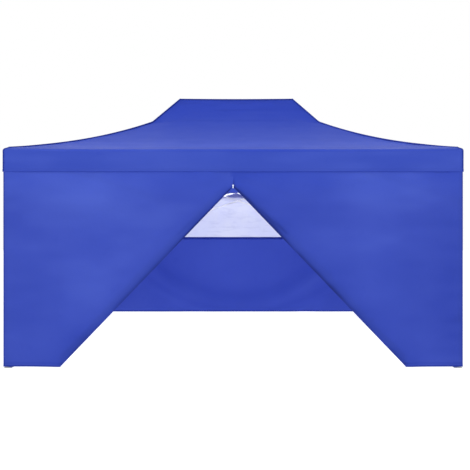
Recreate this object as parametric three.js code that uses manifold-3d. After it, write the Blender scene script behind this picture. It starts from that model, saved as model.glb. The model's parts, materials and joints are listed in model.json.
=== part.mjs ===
// Pop up gazebo with four side walls, on a folding scissor frame.
// Millimetres, +Z up. X runs along the ridge, and the door side faces -Y.
// The origin is on the ground below the middle of the canopy.

import * as THREE from 'three';
import * as BufferGeometryUtils from 'three/addons/utils/BufferGeometryUtils.js';
import Module from 'manifold-3d';

const wasm = await Module();
wasm.setup();

// ---- Driving dimensions of the scissor frame ----

const LEG_SPAN_X = 4350;
const REST_ANGLE = THREE.MathUtils.degToRad(18);
const HUB_ARM = 28;
const CONNECTOR_ARM = 20;
const SHORT_ARM = 42;
const MIDDLE_ARM = 27;
const UPPER_Z = 2060;

// Every truss has bars of one length and pivots on two levels, so the whole frame folds together.
const LONG_ARM = 2 * HUB_ARM + CONNECTOR_ARM;
const CELL = (LEG_SPAN_X - 2 * LONG_ARM) / 3;
const LEG_SPAN_Y = 2 * (CELL + SHORT_ARM + MIDDLE_ARM);
const BAR_PITCH = CELL / Math.cos(REST_ANGLE);
const LOWER_Z = UPPER_Z - BAR_PITCH * Math.sin(REST_ANGLE);
const CROSS_Z = (UPPER_Z + LOWER_Z) / 2;
const LEG_X = LEG_SPAN_X / 2;
const LEG_Y = LEG_SPAN_Y / 2;
const MAST_X = CELL / 2 + HUB_ARM;

// How far a cutting solid runs past the face it cuts, and how far joined solids run into each other.
const CUT_PAST = 1;
const JOIN_OVERLAP = 1;

// ---- Bars and pivots ----

const BAR_DEPTH = 22;
const BAR_WALL = 1;
const BAR_CHAMFER = 6;
const LAYER_NEAR = 0.5;
const LAYER_FAR = 12.5;
const BAR_THICKNESS = LAYER_FAR - LAYER_NEAR;
const BAR_OVERHANG = 11;
const PIN_RADIUS = 3;
const PIN_HOLE_RADIUS = 3.6;
const PIN_SIDES = 6;
const PIN_END = 12.2;
const EAR_REACH = 10;
const EAR_HALF_HEIGHT = 10;
const EAR_ROOT = 4;
const PIN_ROOT = 4;

// ---- Legs, sliders and buttons ----

const OUTER_TUBE = 30;
const OUTER_TUBE_WALL = 1.2;
const INNER_TUBE = 25;
const INNER_TUBE_WALL = 1;
const BLOCK = 44;
const LEG_TOP_Z = 2085;
const LEG_TOP_CAP = 8;
const BRACKET_BOTTOM_Z = 2020;
const COLLAR_BOTTOM_Z = 470;
const COLLAR_TOP_Z = 530;
const COLLAR_BUTTON_Z = 500;
const INNER_TUBE_TOP_Z = 800;
const ADJUST_HOLE_RADIUS = 4;
const ADJUST_HOLE_PITCH = 80;
const ADJUST_HOLE_COUNT = 5;
const ADJUST_HOLE_FIRST_Z = 260;
const ADJUST_HOLE_DEPTH = 2;
const FOOT_OUTER = 24;
const FOOT_INNER = 54;
const FOOT_THICKNESS = 5;
const SLIDER_BORE = 32;
const SLIDER_BELOW = 45;
const SLIDER_ABOVE = 15;
const LATCH_BELOW_PIVOT = 30;
const BUTTON_RADIUS = 7;
const BUTTON_HOLE_RADIUS = 7.4;
const BUTTON_SIDES = 12;
const COLLAR_BUTTON_REACH = [17, 26];
const LATCH_REACH = [20.6, 28];

// ---- Ridge masts and hubs ----

const MAST_RADIUS = 9.5;
const MAST_BORE_RADIUS = 8.3;
const MAST_TIP_Z = 3030;
const HUB_RADIUS = 15;
const HUB_BORE_RADIUS = 10;
const HUB_BELOW_PIVOT = 75;
const HUB_ABOVE_PIVOT = 25;
const HUB_EAR_START = 11;
const MAST_FOOT_HALF = 20;
const MAST_TIP_HEIGHT = 5;
const MAST_TIP_TAPER = 4;
const MAST_TIP_SOLID = 20;
const ROUND_SIDES = 12;

// ---- Fabric ----

const FABRIC = 1.2;
const WALL_OFFSET = 24.2;
const CANOPY_OFFSET = 26.2;
const WALL_BOTTOM_Z = 15;
const WALL_TOP_Z = 2095;
const WALL_GAP = 0.4;
const EAVE_Z = 2110;
const RIDGE_Z = 3040;
const VALANCE_BOTTOM_Z = 1880;
const DOOR_APEX_Z = 1740;
const DOOR_HALF_WIDTH = 1655;
const FLAP_OFFSET = 18;
const WINDOW_HALF_WIDTH = 1000;
const WINDOW_BOTTOM_Z = 1240;
const WINDOW_TOP_Z = 1980;
const WINDOW_OVERLAP = 20;
const WINDOW_OFFSET = 22.3;
const WINDOW_THICKNESS = 1;

// ---- Materials ----

const steel = new THREE.MeshStandardMaterial({ color: 0xb9bcc0, roughness: 0.45, metalness: 0.6 });
const zinc = new THREE.MeshStandardMaterial({ color: 0x9da0a3, roughness: 0.4, metalness: 0.9 });
const plastic = new THREE.MeshStandardMaterial({ color: 0x24262a, roughness: 0.55, metalness: 0 });
const button = new THREE.MeshStandardMaterial({ color: 0xc9ccd0, roughness: 0.35, metalness: 0.8 });
const fabric = new THREE.MeshStandardMaterial({ color: 0x3a4fb4, roughness: 0.8, metalness: 0 });
const film = new THREE.MeshStandardMaterial({ color: 0xd7dbf2, roughness: 0.25, metalness: 0 });

const gazebo = new THREE.Group();
gazebo.name = 'pop_up_gazebo';

// ---- Solids: joining and cutting three.js geometry ----

function toSolid(geometry) {
  const bare = geometry.clone();
  bare.deleteAttribute('normal');
  bare.deleteAttribute('uv');
  const merged = BufferGeometryUtils.mergeVertices(bare);
  return new wasm.Manifold(new wasm.Mesh({
    numProp: 3,
    vertProperties: new Float32Array(merged.attributes.position.array),
    triVerts: new Uint32Array(merged.index.array),
  }));
}

function toGeometry(solid) {
  const mesh = solid.getMesh();
  const geometry = new THREE.BufferGeometry();
  geometry.setAttribute('position', new THREE.BufferAttribute(mesh.vertProperties, 3));
  geometry.setIndex(new THREE.BufferAttribute(mesh.triVerts, 1));
  return geometry;
}

function box(x0, x1, y0, y1, z0, z1) {
  const geometry = new THREE.BoxGeometry(x1 - x0, y1 - y0, z1 - z0);
  return toSolid(geometry.translate((x0 + x1) / 2, (y0 + y1) / 2, (z0 + z1) / 2));
}

function squareTube(size, wall, z0, z1) {
  const outer = size / 2;
  const inner = outer - wall;
  return box(-outer, outer, -outer, outer, z0, z1)
    .subtract(box(-inner, inner, -inner, inner, z0 - CUT_PAST, z1 + CUT_PAST));
}

// A round bar along local Y, from y0 to y1.
function roundAlongY(radius, sides, y0, y1, x = 0, z = 0) {
  const geometry = new THREE.CylinderGeometry(radius, radius, y1 - y0, sides);
  return toSolid(geometry.translate(x, (y0 + y1) / 2, z));
}

// A round bar along local X, from x0 to x1.
function roundAlongX(radius, sides, x0, x1, z) {
  const geometry = new THREE.CylinderGeometry(radius, radius, x1 - x0, sides).rotateZ(Math.PI / 2);
  return toSolid(geometry.translate((x0 + x1) / 2, 0, z));
}

function roundAlongZ(radius, z0, z1) {
  const geometry = new THREE.CylinderGeometry(radius, radius, z1 - z0, ROUND_SIDES).rotateX(Math.PI / 2);
  return toSolid(geometry.translate(0, 0, (z0 + z1) / 2));
}

function add(name, geometry, material, position = [0, 0, 0]) {
  const mesh = new THREE.Mesh(geometry, material);
  mesh.name = name;
  mesh.position.set(...position);
  gazebo.add(mesh);
  return mesh;
}

// ---- Truss frames ----
// In a truss frame, local X runs along the truss and local Y is across it. Pinned bars lie in the
// layer on the +Y side and plain bars in the layer on the -Y side, a millimetre apart.

const YAW = {
  ridge: 0,
  back: 0,
  front: Math.PI,
  left: Math.PI / 2,
  right: -Math.PI / 2,
};

function turned(solid, yaw) {
  return solid.rotate([0, 0, THREE.MathUtils.radToDeg(yaw)]);
}

// An arm that a bar end pivots on: it takes the layer that the bar leaves free.
function ear(direction, start, arm, carriesPin) {
  const ends = [direction * start, direction * (arm + EAR_REACH)].sort((a, b) => a - b);
  const layer = carriesPin ? [LAYER_NEAR, LAYER_FAR] : [-LAYER_FAR, -LAYER_NEAR];
  const plate = box(...ends, ...layer, -EAR_HALF_HEIGHT, EAR_HALF_HEIGHT);
  if (carriesPin) {
    return plate.add(roundAlongY(PIN_RADIUS, PIN_SIDES, -PIN_END, LAYER_NEAR + PIN_ROOT, direction * arm));
  }
  return plate.subtract(
    roundAlongY(PIN_HOLE_RADIUS, PIN_SIDES, -LAYER_FAR - CUT_PAST, 0, direction * arm));
}

// ---- Bars ----

function barOutline() {
  const halfLength = BAR_PITCH / 2 + BAR_OVERHANG;
  const halfDepth = BAR_DEPTH / 2;
  const outline = new THREE.Shape();
  outline.moveTo(-halfLength, -halfDepth + BAR_CHAMFER);
  outline.lineTo(-halfLength + BAR_CHAMFER, -halfDepth);
  outline.lineTo(halfLength - BAR_CHAMFER, -halfDepth);
  outline.lineTo(halfLength, -halfDepth + BAR_CHAMFER);
  outline.lineTo(halfLength, halfDepth - BAR_CHAMFER);
  outline.lineTo(halfLength - BAR_CHAMFER, halfDepth);
  outline.lineTo(-halfLength + BAR_CHAMFER, halfDepth);
  outline.lineTo(-halfLength, halfDepth - BAR_CHAMFER);
  outline.closePath();
  return outline;
}

// A rectangular tube with open chamfered ends, with a pivot at each end and one in the middle.
function barGeometry(pinned) {
  const layerStart = pinned ? LAYER_NEAR : -LAYER_FAR;
  const extruded = new THREE.ExtrudeGeometry(barOutline(), { depth: BAR_THICKNESS, bevelEnabled: false });
  extruded.rotateX(Math.PI / 2).translate(0, layerStart + BAR_THICKNESS, 0);
  const hollowLength = BAR_PITCH / 2 + BAR_OVERHANG + CUT_PAST;
  const hollowDepth = BAR_DEPTH / 2 - BAR_WALL;
  let bar = toSolid(extruded).subtract(box(
    -hollowLength, hollowLength,
    layerStart + BAR_WALL, layerStart + BAR_THICKNESS - BAR_WALL,
    -hollowDepth, hollowDepth,
  ));
  for (const x of [-BAR_PITCH / 2, 0, BAR_PITCH / 2]) {
    bar = pinned
      ? bar.add(roundAlongY(PIN_RADIUS, PIN_SIDES, -PIN_END, LAYER_FAR - BAR_WALL / 2, x))
      : bar.subtract(roundAlongY(PIN_HOLE_RADIUS, PIN_SIDES, -LAYER_FAR - CUT_PAST, 0, x));
  }
  return toGeometry(bar);
}

const pinnedBar = barGeometry(true);
const plainBar = barGeometry(false);
const Z_AXIS = new THREE.Vector3(0, 0, 1);
const X_AXIS = new THREE.Vector3(1, 0, 0);
const Y_AXIS = new THREE.Vector3(0, 1, 0);

// Places a bar with its middle at the crossing of its cell; tilt turns it about tiltAxis.
function addBar(name, pinned, yaw, centre, tiltAxis, tilt) {
  const mesh = add(name, pinned ? pinnedBar : plainBar, steel, centre);
  mesh.quaternion.setFromAxisAngle(tiltAxis, tilt);
  mesh.quaternion.multiply(new THREE.Quaternion().setFromAxisAngle(Z_AXIS, yaw));
}

function addTrussAlongX(side, y, centres) {
  centres.forEach((x, index) => {
    const centre = [x, y, CROSS_Z];
    addBar(`${side}_bar_${index + 1}a`, true, YAW[side], centre, Y_AXIS, REST_ANGLE);
    addBar(`${side}_bar_${index + 1}b`, false, YAW[side], centre, Y_AXIS, -REST_ANGLE);
  });
}

const longCellCentres = [-CELL, 0, CELL];
const ridgeCellCentres = [-(MAST_X + HUB_ARM + CELL / 2), 0, MAST_X + HUB_ARM + CELL / 2];
addTrussAlongX('front', -LEG_Y, longCellCentres);
addTrussAlongX('back', LEG_Y, longCellCentres);
addTrussAlongX('ridge', 0, ridgeCellCentres);

for (const [side, sideSign] of [['left', -1], ['right', 1]]) {
  for (const [half, halfSign] of [['front', -1], ['back', 1]]) {
    const centre = [sideSign * LEG_X, halfSign * (MIDDLE_ARM + CELL / 2), CROSS_Z];
    const tilt = -halfSign * REST_ANGLE;
    addBar(`${side}_bar_${half}_a`, true, YAW[side], centre, X_AXIS, tilt);
    addBar(`${side}_bar_${half}_b`, false, YAW[side], centre, X_AXIS, -tilt);
  }
}

// ---- Legs ----

const CORNERS = [
  { name: 'front_left', x: -1, y: -1 },
  { name: 'front_right', x: 1, y: -1 },
  { name: 'back_left', x: -1, y: 1 },
  { name: 'back_right', x: 1, y: 1 },
];

// The two ears on a leg bracket or slider, about the leg axis, at pivot height zero.
function cornerEars(corner, start, longCarriesPin, shortCarriesPin) {
  const longYaw = corner.y > 0 ? YAW.back : YAW.front;
  const shortYaw = corner.x < 0 ? YAW.left : YAW.right;
  const longEar = ear(-corner.x * corner.y, start, LONG_ARM, longCarriesPin);
  const shortEar = ear(corner.x * corner.y, start, SHORT_ARM, shortCarriesPin);
  return turned(longEar, longYaw).add(turned(shortEar, shortYaw));
}

function buttonHole(corner, innerReach, z) {
  const ends = [-corner.x * innerReach, -corner.x * (BLOCK / 2 + CUT_PAST)].sort((a, b) => a - b);
  return roundAlongX(BUTTON_HOLE_RADIUS, BUTTON_SIDES, ...ends, z);
}

function outerLeg(corner) {
  const half = BLOCK / 2;
  const bore = OUTER_TUBE / 2 - OUTER_TUBE_WALL;
  const bracketEars = cornerEars(corner, OUTER_TUBE / 2, corner.x > 0, true);
  return box(-OUTER_TUBE / 2, OUTER_TUBE / 2, -OUTER_TUBE / 2, OUTER_TUBE / 2, COLLAR_BOTTOM_Z, LEG_TOP_Z)
    .add(box(-half, half, -half, half, BRACKET_BOTTOM_Z, LEG_TOP_Z))
    .add(box(-half, half, -half, half, COLLAR_BOTTOM_Z, COLLAR_TOP_Z))
    .add(bracketEars.translate([0, 0, UPPER_Z]))
    .subtract(box(-bore, bore, -bore, bore, COLLAR_BOTTOM_Z - CUT_PAST, LEG_TOP_Z - LEG_TOP_CAP))
    .subtract(buttonHole(corner, bore - CUT_PAST, COLLAR_BUTTON_Z));
}

function innerLeg(corner) {
  const footX = [-corner.x * FOOT_INNER, corner.x * FOOT_OUTER].sort((a, b) => a - b);
  const footY = [-corner.y * FOOT_INNER, corner.y * FOOT_OUTER].sort((a, b) => a - b);
  const plate = box(...footX, ...footY, 0, FOOT_THICKNESS);
  const tubeBottomZ = FOOT_THICKNESS - JOIN_OVERLAP;
  let leg = squareTube(INNER_TUBE, INNER_TUBE_WALL, tubeBottomZ, INNER_TUBE_TOP_Z).add(plate);
  const half = INNER_TUBE / 2;
  const wallEnds = [-corner.x * (half - ADJUST_HOLE_DEPTH), -corner.x * (half + CUT_PAST)];
  wallEnds.sort((a, b) => a - b);
  for (let i = 0; i < ADJUST_HOLE_COUNT; i += 1) {
    const z = ADJUST_HOLE_FIRST_Z + i * ADJUST_HOLE_PITCH;
    leg = leg.subtract(roundAlongX(ADJUST_HOLE_RADIUS, PIN_SIDES, ...wallEnds, z));
  }
  return leg;
}

function slider(corner) {
  const half = BLOCK / 2;
  const bore = SLIDER_BORE / 2;
  return box(-half, half, -half, half, -SLIDER_BELOW, SLIDER_ABOVE)
    .add(cornerEars(corner, bore + JOIN_OVERLAP, corner.x < 0, false))
    .subtract(box(-bore, bore, -bore, bore, -SLIDER_BELOW - CUT_PAST, SLIDER_ABOVE + CUT_PAST))
    .subtract(buttonHole(corner, bore - CUT_PAST, -LATCH_BELOW_PIVOT));
}

// A round push button on the leg's inward X face, between two distances from the leg axis.
function pushButton(corner, reach, z) {
  const ends = reach.map((distance) => -corner.x * distance).sort((a, b) => a - b);
  return roundAlongX(BUTTON_RADIUS, BUTTON_SIDES, ...ends, z);
}

for (const corner of CORNERS) {
  const place = [corner.x * LEG_X, corner.y * LEG_Y, 0];
  const sliderPlace = [place[0], place[1], LOWER_Z];
  add(`leg_outer_${corner.name}`, toGeometry(outerLeg(corner)), steel, place);
  add(`leg_inner_${corner.name}`, toGeometry(innerLeg(corner)), zinc, place);
  const collarButton = pushButton(corner, COLLAR_BUTTON_REACH, COLLAR_BUTTON_Z);
  add(`leg_button_${corner.name}`, toGeometry(collarButton), button, place);
  add(`slider_${corner.name}`, toGeometry(slider(corner)), plastic, sliderPlace);
  const latch = pushButton(corner, LATCH_REACH, -LATCH_BELOW_PIVOT);
  add(`slider_latch_${corner.name}`, toGeometry(latch), button, sliderPlace);
}

// ---- Short side connectors ----

const CONNECTOR_OUT = 12.5;
const CONNECTOR_IN = 7;
const CONNECTOR_HALF_WIDTH = 14;
const CONNECTOR_HALF_HEIGHT = 18;
const CONNECTOR_EAR_START = LAYER_FAR + 0.5;

function connector(sideName, sideSign, ridgeCarriesPin, sideCarriesPin) {
  const block = box(-CONNECTOR_IN, CONNECTOR_OUT, -CONNECTOR_HALF_WIDTH, CONNECTOR_HALF_WIDTH,
    -CONNECTOR_HALF_HEIGHT, CONNECTOR_HALF_HEIGHT);
  const facing = sideSign > 0 ? 0 : Math.PI;
  const sideEars = [-1, 1].map((direction) =>
    turned(ear(direction, CONNECTOR_EAR_START, MIDDLE_ARM, sideCarriesPin), YAW[sideName]));
  return turned(block, facing)
    .add(ear(-sideSign, CONNECTOR_IN - EAR_ROOT, CONNECTOR_ARM, ridgeCarriesPin))
    .add(sideEars[0])
    .add(sideEars[1]);
}

for (const [side, sideSign] of [['left', -1], ['right', 1]]) {
  const upper = connector(side, sideSign, sideSign > 0, false);
  const lower = connector(side, sideSign, sideSign < 0, true);
  add(`connector_upper_${side}`, toGeometry(upper), plastic, [sideSign * LEG_X, 0, UPPER_Z]);
  add(`connector_lower_${side}`, toGeometry(lower), plastic, [sideSign * LEG_X, 0, LOWER_Z]);
}

// ---- Ridge hubs and masts ----

function upperHub() {
  return roundAlongZ(HUB_RADIUS, -HUB_BELOW_PIVOT, HUB_ABOVE_PIVOT)
    .add(ear(-1, HUB_EAR_START, HUB_ARM, true))
    .add(ear(1, HUB_EAR_START, HUB_ARM, false))
    .subtract(roundAlongZ(HUB_BORE_RADIUS, -HUB_BELOW_PIVOT - CUT_PAST, HUB_ABOVE_PIVOT + CUT_PAST));
}

// A mast is fixed in its lower hub and slides through the upper one as the frame folds.
function mast() {
  const tip = MAST_TIP_Z - LOWER_Z;
  const tipRadius = MAST_RADIUS - MAST_TIP_TAPER;
  const taperedEnd = new THREE.CylinderGeometry(tipRadius, MAST_RADIUS, MAST_TIP_HEIGHT, ROUND_SIDES);
  taperedEnd.rotateX(Math.PI / 2).translate(0, 0, tip - MAST_TIP_HEIGHT / 2);
  return roundAlongZ(MAST_RADIUS, -MAST_FOOT_HALF, tip - MAST_TIP_HEIGHT)
    .add(toSolid(taperedEnd))
    .add(roundAlongZ(HUB_RADIUS, -MAST_FOOT_HALF, MAST_FOOT_HALF))
    .add(ear(-1, HUB_EAR_START, HUB_ARM, false))
    .add(ear(1, HUB_EAR_START, HUB_ARM, true))
    .subtract(roundAlongZ(MAST_BORE_RADIUS, -MAST_FOOT_HALF - CUT_PAST, tip - MAST_TIP_SOLID));
}

for (const [side, sideSign] of [['left', -1], ['right', 1]]) {
  add(`mast_hub_${side}`, toGeometry(upperHub()), plastic, [sideSign * MAST_X, 0, UPPER_Z]);
  add(`mast_${side}`, toGeometry(mast()), steel, [sideSign * MAST_X, 0, LOWER_Z]);
}

// ---- Canopy ----

// Height along a hip, from 0 at the eave corner to 1 at the mast tip. The fabric curves up from
// the eave to the edge of the mast patch, and runs straight from there.
const PATCH_EDGE = 0.8;
const HIP_LEVELS = [0, 0.2, 0.4, 0.6, PATCH_EDGE, 1];
const HIP_SLOPE_RISE = 372.5;
const HIP_CURVE_RISE = 400;

function curvedRise(u) {
  return HIP_SLOPE_RISE * u + HIP_CURVE_RISE * u * u;
}

function roofHeight(u) {
  if (u <= PATCH_EDGE) {
    return EAVE_Z + curvedRise(u);
  }
  const patchZ = EAVE_Z + curvedRise(PATCH_EDGE);
  return patchZ + (RIDGE_Z - patchZ) * (u - PATCH_EDGE) / (1 - PATCH_EDGE);
}

// The points of one level of the canopy, anticlockwise from above. At u = 1 it closes onto the ridge.
function canopyLoop(u, z, inset) {
  const x = MAST_X + (LEG_X + CANOPY_OFFSET - MAST_X) * (1 - u) - inset;
  const y = Math.max((LEG_Y + CANOPY_OFFSET) * (1 - u) - inset, 0);
  const ridgeX = MAST_X - inset;
  const front = [[-x, -y], [-ridgeX, -y], [0, -y], [ridgeX, -y], [x, -y], [x, 0]];
  const back = front.map(([px, py]) => [-px, -py]);
  return [...front, ...back].map(([px, py]) => [px + 0, py + 0, z]);
}

function canopySkin(inset) {
  const roof = HIP_LEVELS.map((u) => canopyLoop(u, roofHeight(u) - inset, inset));
  return [canopyLoop(0, VALANCE_BOTTOM_Z, inset), ...roof];
}

// A shell of two skins joined round the bottom of the valance.
function canopyGeometry() {
  const positions = [];
  const triangles = [];
  const places = new Map();
  const put = (point) => {
    const key = point.join();
    if (!places.has(key)) {
      places.set(key, positions.length / 3);
      positions.push(...point);
    }
    return places.get(key);
  };
  const triangle = (a, b, c) => {
    if (a !== b && b !== c && c !== a) {
      triangles.push(a, b, c);
    }
  };
  const band = (low, high) => low.forEach((corner, i) => {
    const next = (i + 1) % low.length;
    triangle(corner, low[next], high[next]);
    triangle(corner, high[next], high[i]);
  });
  const outer = canopySkin(0).map((loop) => loop.map(put));
  const inner = canopySkin(FABRIC).map((loop) => loop.map(put));
  for (let level = 0; level + 1 < outer.length; level += 1) {
    band(outer[level], outer[level + 1]);
    band(inner[level + 1], inner[level]);
  }
  band(inner[0], outer[0]);
  const geometry = new THREE.BufferGeometry();
  geometry.setAttribute('position', new THREE.Float32BufferAttribute(positions, 3));
  geometry.setIndex(triangles);
  return geometry;
}

add('canopy', canopyGeometry(), fabric);

// ---- Walls ----

// A flat sheet from an outline in X and Z, between two Y values.
function upright(outline, y0, y1) {
  const geometry = new THREE.ExtrudeGeometry(outline, { depth: y1 - y0, bevelEnabled: false });
  return toSolid(geometry.rotateX(Math.PI / 2).translate(0, y1, 0));
}

function polygon(points) {
  return new THREE.Shape(points.map(([x, z]) => new THREE.Vector2(x, z)));
}

const WALL_HALF_X = LEG_X + WALL_OFFSET;
const WALL_HALF_Y = LEG_Y + WALL_OFFSET;
const wallOutline = [
  [-WALL_HALF_X, WALL_BOTTOM_Z],
  [WALL_HALF_X, WALL_BOTTOM_Z],
  [WALL_HALF_X, WALL_TOP_Z],
  [-WALL_HALF_X, WALL_TOP_Z],
];

// A point on the door's slanted edge: 0 at the apex, 1 at the bottom corner.
function doorEdge(side, along) {
  return [side * DOOR_HALF_WIDTH * along, DOOR_APEX_Z + (WALL_BOTTOM_Z - DOOR_APEX_Z) * along];
}

// The free corner of a door flap, once the flap is folded back about the door's slanted edge.
function foldedCorner(side) {
  const apex = new THREE.Vector2(0, DOOR_APEX_Z);
  const edge = new THREE.Vector2(...doorEdge(side, 1)).sub(apex).normalize();
  const free = new THREE.Vector2(0, WALL_BOTTOM_Z - DOOR_APEX_Z);
  const mirrored = edge.multiplyScalar(2 * free.dot(edge)).sub(free);
  return apex.add(mirrored).toArray();
}

const FOLD_STRIP = 4;
const PAST_EDGE = 1.01;
const FLAP_START = 0.01;

function frontWall() {
  const outerY = -(LEG_Y + WALL_OFFSET);
  const flapY = -(LEG_Y + FLAP_OFFSET);
  const opening = [doorEdge(0, 0), doorEdge(-1, PAST_EDGE), doorEdge(1, PAST_EDGE)];
  let wall = upright(polygon(wallOutline), outerY, outerY + FABRIC)
    .subtract(upright(polygon(opening), outerY - CUT_PAST, outerY + FABRIC + CUT_PAST));
  for (const side of [-1, 1]) {
    const [cornerX, cornerZ] = doorEdge(side, 1);
    const flap = [doorEdge(side, FLAP_START), [cornerX, cornerZ], foldedCorner(side)];
    const strip = [
      [0, DOOR_APEX_Z],
      [cornerX, cornerZ],
      [cornerX + side * FOLD_STRIP, cornerZ],
      [0, DOOR_APEX_Z + FOLD_STRIP],
    ];
    wall = wall
      .add(upright(polygon(flap), flapY, flapY + FABRIC))
      .add(upright(polygon(strip), outerY + FABRIC / 2, flapY + FABRIC / 2));
  }
  return wall;
}

function backWall() {
  const outerY = LEG_Y + WALL_OFFSET;
  const opening = box(-WINDOW_HALF_WIDTH, WINDOW_HALF_WIDTH,
    outerY - FABRIC - CUT_PAST, outerY + CUT_PAST, WINDOW_BOTTOM_Z, WINDOW_TOP_Z);
  return upright(polygon(wallOutline), outerY - FABRIC, outerY).subtract(opening);
}

function sideWall(sideSign) {
  const ends = [sideSign * (WALL_HALF_X - FABRIC), sideSign * WALL_HALF_X].sort((a, b) => a - b);
  const halfY = WALL_HALF_Y - FABRIC - WALL_GAP;
  return box(...ends, -halfY, halfY, WALL_BOTTOM_Z, WALL_TOP_Z);
}

function windowPane() {
  const outerY = LEG_Y + WINDOW_OFFSET;
  const halfX = WINDOW_HALF_WIDTH + WINDOW_OVERLAP;
  return box(-halfX, halfX, outerY - WINDOW_THICKNESS, outerY,
    WINDOW_BOTTOM_Z - WINDOW_OVERLAP, WINDOW_TOP_Z + WINDOW_OVERLAP);
}

add('front_wall', toGeometry(frontWall()), fabric);
add('back_wall', toGeometry(backWall()), fabric);
add('window', toGeometry(windowPane()), film);
for (const [side, sideSign] of [['left', -1], ['right', 1]]) {
  add(`${side}_wall`, toGeometry(sideWall(sideSign)), fabric);
}

export default gazebo;
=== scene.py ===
"""Looks of the pop up gazebo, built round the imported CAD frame. Metres, +Z up, door side towards -Y."""
import json
import math

import bmesh
import bpy
import numpy as np
from mathutils import Matrix, Vector

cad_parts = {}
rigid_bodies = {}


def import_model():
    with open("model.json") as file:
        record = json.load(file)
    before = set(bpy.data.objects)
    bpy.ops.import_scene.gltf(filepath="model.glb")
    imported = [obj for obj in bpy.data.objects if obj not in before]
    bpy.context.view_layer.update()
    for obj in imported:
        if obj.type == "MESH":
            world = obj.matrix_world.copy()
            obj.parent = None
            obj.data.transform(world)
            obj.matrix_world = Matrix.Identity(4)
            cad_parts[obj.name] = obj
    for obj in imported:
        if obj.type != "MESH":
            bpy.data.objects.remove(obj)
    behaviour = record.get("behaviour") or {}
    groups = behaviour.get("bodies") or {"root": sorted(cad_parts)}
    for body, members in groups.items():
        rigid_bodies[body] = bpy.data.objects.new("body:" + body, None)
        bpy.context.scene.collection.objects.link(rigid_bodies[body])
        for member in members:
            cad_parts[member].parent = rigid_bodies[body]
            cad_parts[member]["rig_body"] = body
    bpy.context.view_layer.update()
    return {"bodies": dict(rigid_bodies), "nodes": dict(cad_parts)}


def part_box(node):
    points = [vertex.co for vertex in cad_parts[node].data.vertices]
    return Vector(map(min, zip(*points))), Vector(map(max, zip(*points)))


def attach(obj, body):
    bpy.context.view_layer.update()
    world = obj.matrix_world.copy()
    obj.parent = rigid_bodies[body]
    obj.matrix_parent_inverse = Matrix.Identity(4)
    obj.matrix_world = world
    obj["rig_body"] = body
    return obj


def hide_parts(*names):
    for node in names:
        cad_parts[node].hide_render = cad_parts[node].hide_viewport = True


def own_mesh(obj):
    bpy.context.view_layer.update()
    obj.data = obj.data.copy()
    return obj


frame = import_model()

# ---- Driving dimensions, from the frame ----

CANOPY_LOW, CANOPY_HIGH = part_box("canopy")
CANOPY_X = CANOPY_HIGH.x
CANOPY_Y = CANOPY_HIGH.y
RIDGE_Z = CANOPY_HIGH.z
VALANCE_Z = CANOPY_LOW.z
FRONT_LOW, FRONT_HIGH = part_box("front_wall")
WALL_X = FRONT_HIGH.x
WALL_Y = -FRONT_LOW.y
WALL_LOW_Z = FRONT_LOW.z
WALL_TOP_Z = FRONT_HIGH.z
WINDOW_LOW, WINDOW_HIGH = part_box("window")
MAST_LOW, MAST_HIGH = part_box("mast_right")
MAST_X = (MAST_LOW.x + MAST_HIGH.x) / 2
LEG_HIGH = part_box("leg_outer_back_right")[1]

# The four upper legs, each with its corner: 0 or 1 for left or right, then for front or back.
LEGS = {f"leg_outer_{half}_{side}": (right, back)
        for back, half in enumerate(("front", "back")) for right, side in enumerate(("left", "right"))}

# Sizes that the boxes don't hold.
EAVE_Z = 2.110
EAVE_SAG = 0.022
PATCH_EDGE = 0.8
DOOR_APEX_Z = 1.740
DOOR_HALF_WIDTH = 1.655
WINDOW_OVERLAP = 0.020
PIVOT_UPPER_Z = 2.060
LEG_HALF = 0.022
LEG_AXIS_X = LEG_HIGH.x - LEG_HALF
LEG_AXIS_Y = LEG_HIGH.y - LEG_HALF
BRACKET_Z = 2.0195
COLLAR_Z = 0.5305

# Scissor bars: each turns about its middle, and has a pivot near each end.
CROSS_Z = 1.832665
BAR_OVERHANG = 0.011
BAR_END_X = 0.0139
LAYER_FAR = 0.0125
LAYER_MIDDLE = 0.0065

WINDOW_HALF_X = WINDOW_HIGH.x - WINDOW_OVERLAP
WINDOW_SILL_Z = WINDOW_LOW.z + WINDOW_OVERLAP
WINDOW_HEAD_Z = WINDOW_HIGH.z - WINDOW_OVERLAP

HEM_RAISE = 0.0009
BINDING = 0.013
VALANCE_TAPE = 0.006
WINDOW_TAPE = 0.037
BACK_BINDING = 0.018
SIDE_TAPE = 0.009
ZIP_TOP_Z = 1.747
GUSSET_LOW_Z = 1.676
GUSSET_HALF = 0.072
TIE_HALF = 0.012
TIE_RUNS = (0.62, 1.25, 1.85)
MAST_SHARE = 0.913

FABRIC_SLOT = "blue_fabric"
SEED = 20


# ---- Small numeric helpers ----

def smooth(t):
    t = np.clip(t, 0.0, 1.0)
    return t * t * (3 - 2 * t)


def bump(x, centre, width):
    """A rounded ridge of height 1 at centre that fades to 0 a width away."""
    return np.exp(-((x - centre) / width) ** 2)


def lattice(ix, iy, seed):
    """A repeatable value from -1 to 1 for each whole-number place."""
    h = np.sin(ix * 127.1 + iy * 311.7 + seed * 74.7) * 43758.5453
    return 2 * (h - np.floor(h)) - 1


def noise(x, y, seed=0):
    """Smooth noise from about -1 to 1, with features about one unit wide."""
    ix, iy = np.floor(x), np.floor(y)
    fx, fy = smooth(x - ix), smooth(y - iy)
    low = lattice(ix, iy, seed) * (1 - fx) + lattice(ix + 1, iy, seed) * fx
    high = lattice(ix, iy + 1, seed) * (1 - fx) + lattice(ix + 1, iy + 1, seed) * fx
    return low * (1 - fy) + high * fy


def crease(x, y, seed=0):
    """Noise folded over itself, which gives sharp soft-sided ridges like creased cloth."""
    return 1 - 2 * np.abs(noise(x, y, seed))


def xyz(x, y, z):
    """Points from their coordinates; any of them may be one number for all points."""
    return np.stack(np.broadcast_arrays(x, y, z), axis=-1)


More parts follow.
